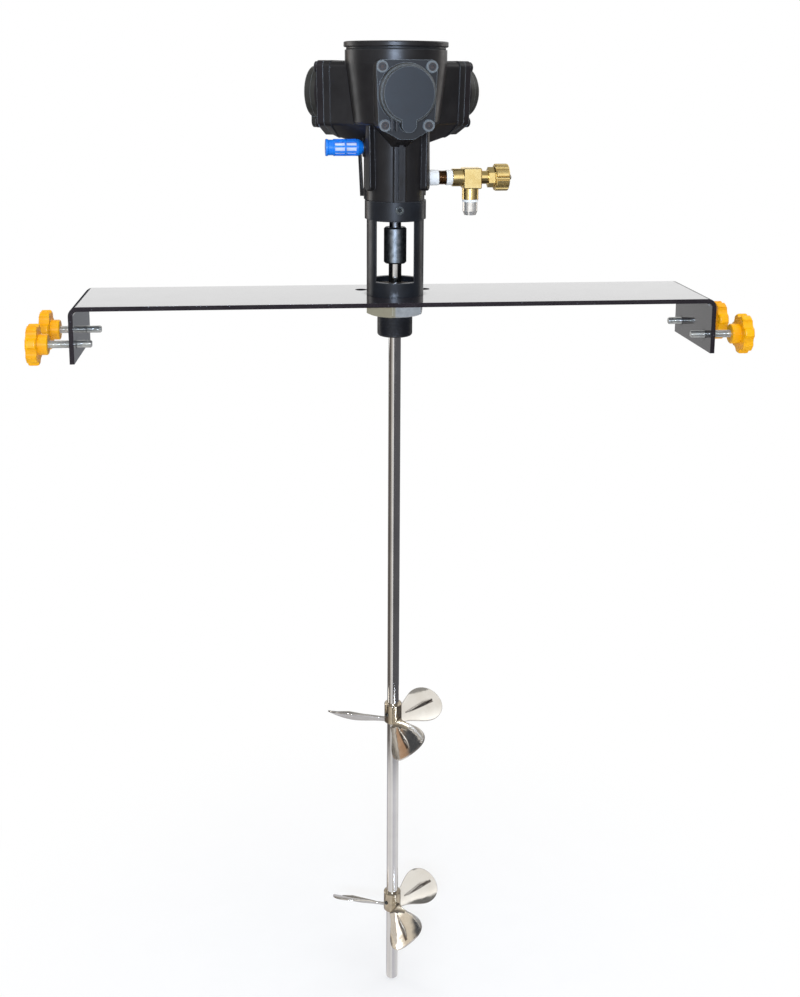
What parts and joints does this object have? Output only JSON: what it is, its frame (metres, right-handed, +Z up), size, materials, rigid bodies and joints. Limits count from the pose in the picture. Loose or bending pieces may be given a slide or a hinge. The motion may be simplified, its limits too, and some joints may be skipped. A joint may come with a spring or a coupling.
{
  "type": "tank agitator",
  "caption": "Drum agitator: air motor with radial cylinders on a clamp-on strip, with a yoke, a coupling and a long shaft that carries two propellers.",
  "frame": {"origin": "on the shaft axis, in the underside of the strip, where it rests on the drum's rim", "axes": "+Z up along the shaft, +X along the strip to the right, -Y towards the front cylinder"},
  "size_m": [0.7238, 0.159, 1.0382],
  "materials": {
    "black_strip": "gloss",
    "zinc_nut": "satin",
    "black_yoke": "satin",
    "black_screws": "satin",
    "bronze": "satin",
    "zinc_stud": "polished",
    "orange_knob": "satin",
    "black_casting": "satin",
    "seal_rubber": "matte",
    "liner_steel": "honed",
    "piston_alloy": "machined",
    "ring_iron": "machined",
    "forged_steel": "machined",
    "bearing_steel": "polished",
    "coupling_steel": "turned",
    "stainless": "polished",
    "blue_plastic": "gloss",
    "white_felt": "matte",
    "white_tape": "matte",
    "yellow_brass": "polished",
    "nickel": "polished",
    "stem_steel": "machined"
  },
  "bodies": {
    "stand": {"mounting_plate": "black_strip", "lock_nut": "zinc_nut", "yoke": "black_yoke", "collar_set_screws": "black_screws", "guide_bushes": "bronze", "motor_housing": "black_casting", "head_gaskets": "seal_rubber", "head_screws": "black_screws", "cylinder_liners": "liner_steel", "cylinder_head_front": "black_casting", "cylinder_head_right": "black_casting", "cylinder_head_left": "black_casting", "cover_seal": "seal_rubber", "top_cover": "black_casting", "cover_screws": "black_screws", "upper_bearing_outer": "bearing_steel", "lower_bearing_outer": "bearing_steel", "valve_sleeve": "bronze", "output_bush": "bronze", "shaft_seal": "seal_rubber", "muffler_body": "blue_plastic", "muffler_core": "white_felt", "inlet_nipple": "yellow_brass", "thread_tape": "white_tape", "inlet_tee": "yellow_brass", "inlet_fitting": "nickel", "valve_bonnet": "yellow_brass", "valve_packing": "seal_rubber"},
    "drive": {"crankshaft": "forged_steel", "rotary_valve": "forged_steel", "upper_bearing_inner": "bearing_steel", "lower_bearing_inner": "bearing_steel", "coupling": "coupling_steel", "coupling_set_screws": "black_screws", "agitator_shaft": "stainless", "upper_propeller_hub": "stainless", "upper_propeller_blades": "stainless", "lower_propeller_hub": "stainless", "lower_propeller_blades": "stainless", "hub_set_screws": "black_screws"},
    "piston_front": {"piston_front": "piston_alloy", "piston_rings_front": "ring_iron", "connecting_rod_front": "forged_steel"},
    "piston_right": {"piston_right": "piston_alloy", "piston_rings_right": "ring_iron", "connecting_rod_right": "forged_steel"},
    "piston_left": {"piston_left": "piston_alloy", "piston_rings_left": "ring_iron", "connecting_rod_left": "forged_steel"},
    "clamp_stud_left_front": {"clamp_stud_left_front": "zinc_stud"},
    "clamp_knob_left_front": {"clamp_knob_left_front": "orange_knob"},
    "clamp_stud_left_back": {"clamp_stud_left_back": "zinc_stud"},
    "clamp_knob_left_back": {"clamp_knob_left_back": "orange_knob"},
    "clamp_stud_right_front": {"clamp_stud_right_front": "zinc_stud"},
    "clamp_knob_right_front": {"clamp_knob_right_front": "orange_knob"},
    "clamp_stud_right_back": {"clamp_stud_right_back": "zinc_stud"},
    "clamp_knob_right_back": {"clamp_knob_right_back": "orange_knob"},
    "valve_stem": {"valve_stem": "stem_steel"},
    "valve_knob": {"valve_knob": "yellow_brass"}
  },
  "joints": [
    {"name": "drive_spin", "type": "hinge", "parent": "stand", "child": "drive", "pos_m": [0, 0, 0], "axis": [0, 0, 1], "continuous": true},
    {"name": "piston_front_slide", "type": "slide", "parent": "stand", "child": "piston_front", "axis": [0.0419, -0.9991, 0], "range_m": [-0.008, 0.008]},
    {"name": "piston_right_slide", "type": "slide", "parent": "stand", "child": "piston_right", "axis": [0.8443, 0.5358, 0], "range_m": [-0.008, 0.008]},
    {"name": "piston_left_slide", "type": "slide", "parent": "stand", "child": "piston_left", "axis": [-0.8862, 0.4633, 0], "range_m": [-0.008, 0.008]},
    {"name": "clamp_stud_left_front_slide", "type": "slide", "parent": "stand", "child": "clamp_stud_left_front", "axis": [1, 0, 0], "range_m": [-0.014, 0.022]},
    {"name": "clamp_knob_left_front_turn", "type": "hinge", "parent": "clamp_stud_left_front", "child": "clamp_knob_left_front", "pos_m": [-0.3425, -0.037, -0.0355], "axis": [1, 0, 0], "range_deg": [-4031, 6335]},
    {"name": "clamp_stud_left_back_slide", "type": "slide", "parent": "stand", "child": "clamp_stud_left_back", "axis": [1, 0, 0], "range_m": [-0.014, 0.022]},
    {"name": "clamp_knob_left_back_turn", "type": "hinge", "parent": "clamp_stud_left_back", "child": "clamp_knob_left_back", "pos_m": [-0.3425, 0.037, -0.0355], "axis": [1, 0, 0], "range_deg": [-4031, 6335]},
    {"name": "clamp_stud_right_front_slide", "type": "slide", "parent": "stand", "child": "clamp_stud_right_front", "axis": [-1, 0, 0], "range_m": [-0.014, 0.022]},
    {"name": "clamp_knob_right_front_turn", "type": "hinge", "parent": "clamp_stud_right_front", "child": "clamp_knob_right_front", "pos_m": [0.3425, -0.037, -0.0355], "axis": [-1, 0, 0], "range_deg": [-4031, 6335]},
    {"name": "clamp_stud_right_back_slide", "type": "slide", "parent": "stand", "child": "clamp_stud_right_back", "axis": [-1, 0, 0], "range_m": [-0.014, 0.022]},
    {"name": "clamp_knob_right_back_turn", "type": "hinge", "parent": "clamp_stud_right_back", "child": "clamp_knob_right_back", "pos_m": [0.3425, 0.037, -0.0355], "axis": [-1, 0, 0], "range_deg": [-4031, 6335]},
    {"name": "valve_stem_slide", "type": "slide", "parent": "stand", "child": "valve_stem", "axis": [0.9991, 0.0419, 0], "range_m": [0, 0.004]},
    {"name": "valve_knob_turn", "type": "hinge", "parent": "valve_stem", "child": "valve_knob", "pos_m": [0.10101, 0.00423, 0.1225], "axis": [0.9991, 0.0419, 0], "range_deg": [0, 1439]}
  ],
  "couplings": [
    {"joint": "clamp_stud_left_front_slide", "follows": "clamp_knob_left_front_turn", "m_per_rad": 0.00019894},
    {"joint": "clamp_stud_left_back_slide", "follows": "clamp_knob_left_back_turn", "m_per_rad": 0.00019894},
    {"joint": "clamp_stud_right_front_slide", "follows": "clamp_knob_right_front_turn", "m_per_rad": 0.00019894},
    {"joint": "clamp_stud_right_back_slide", "follows": "clamp_knob_right_back_turn", "m_per_rad": 0.00019894},
    {"joint": "valve_stem_slide", "follows": "valve_knob_turn", "m_per_rad": 0.00015915}
  ]
}
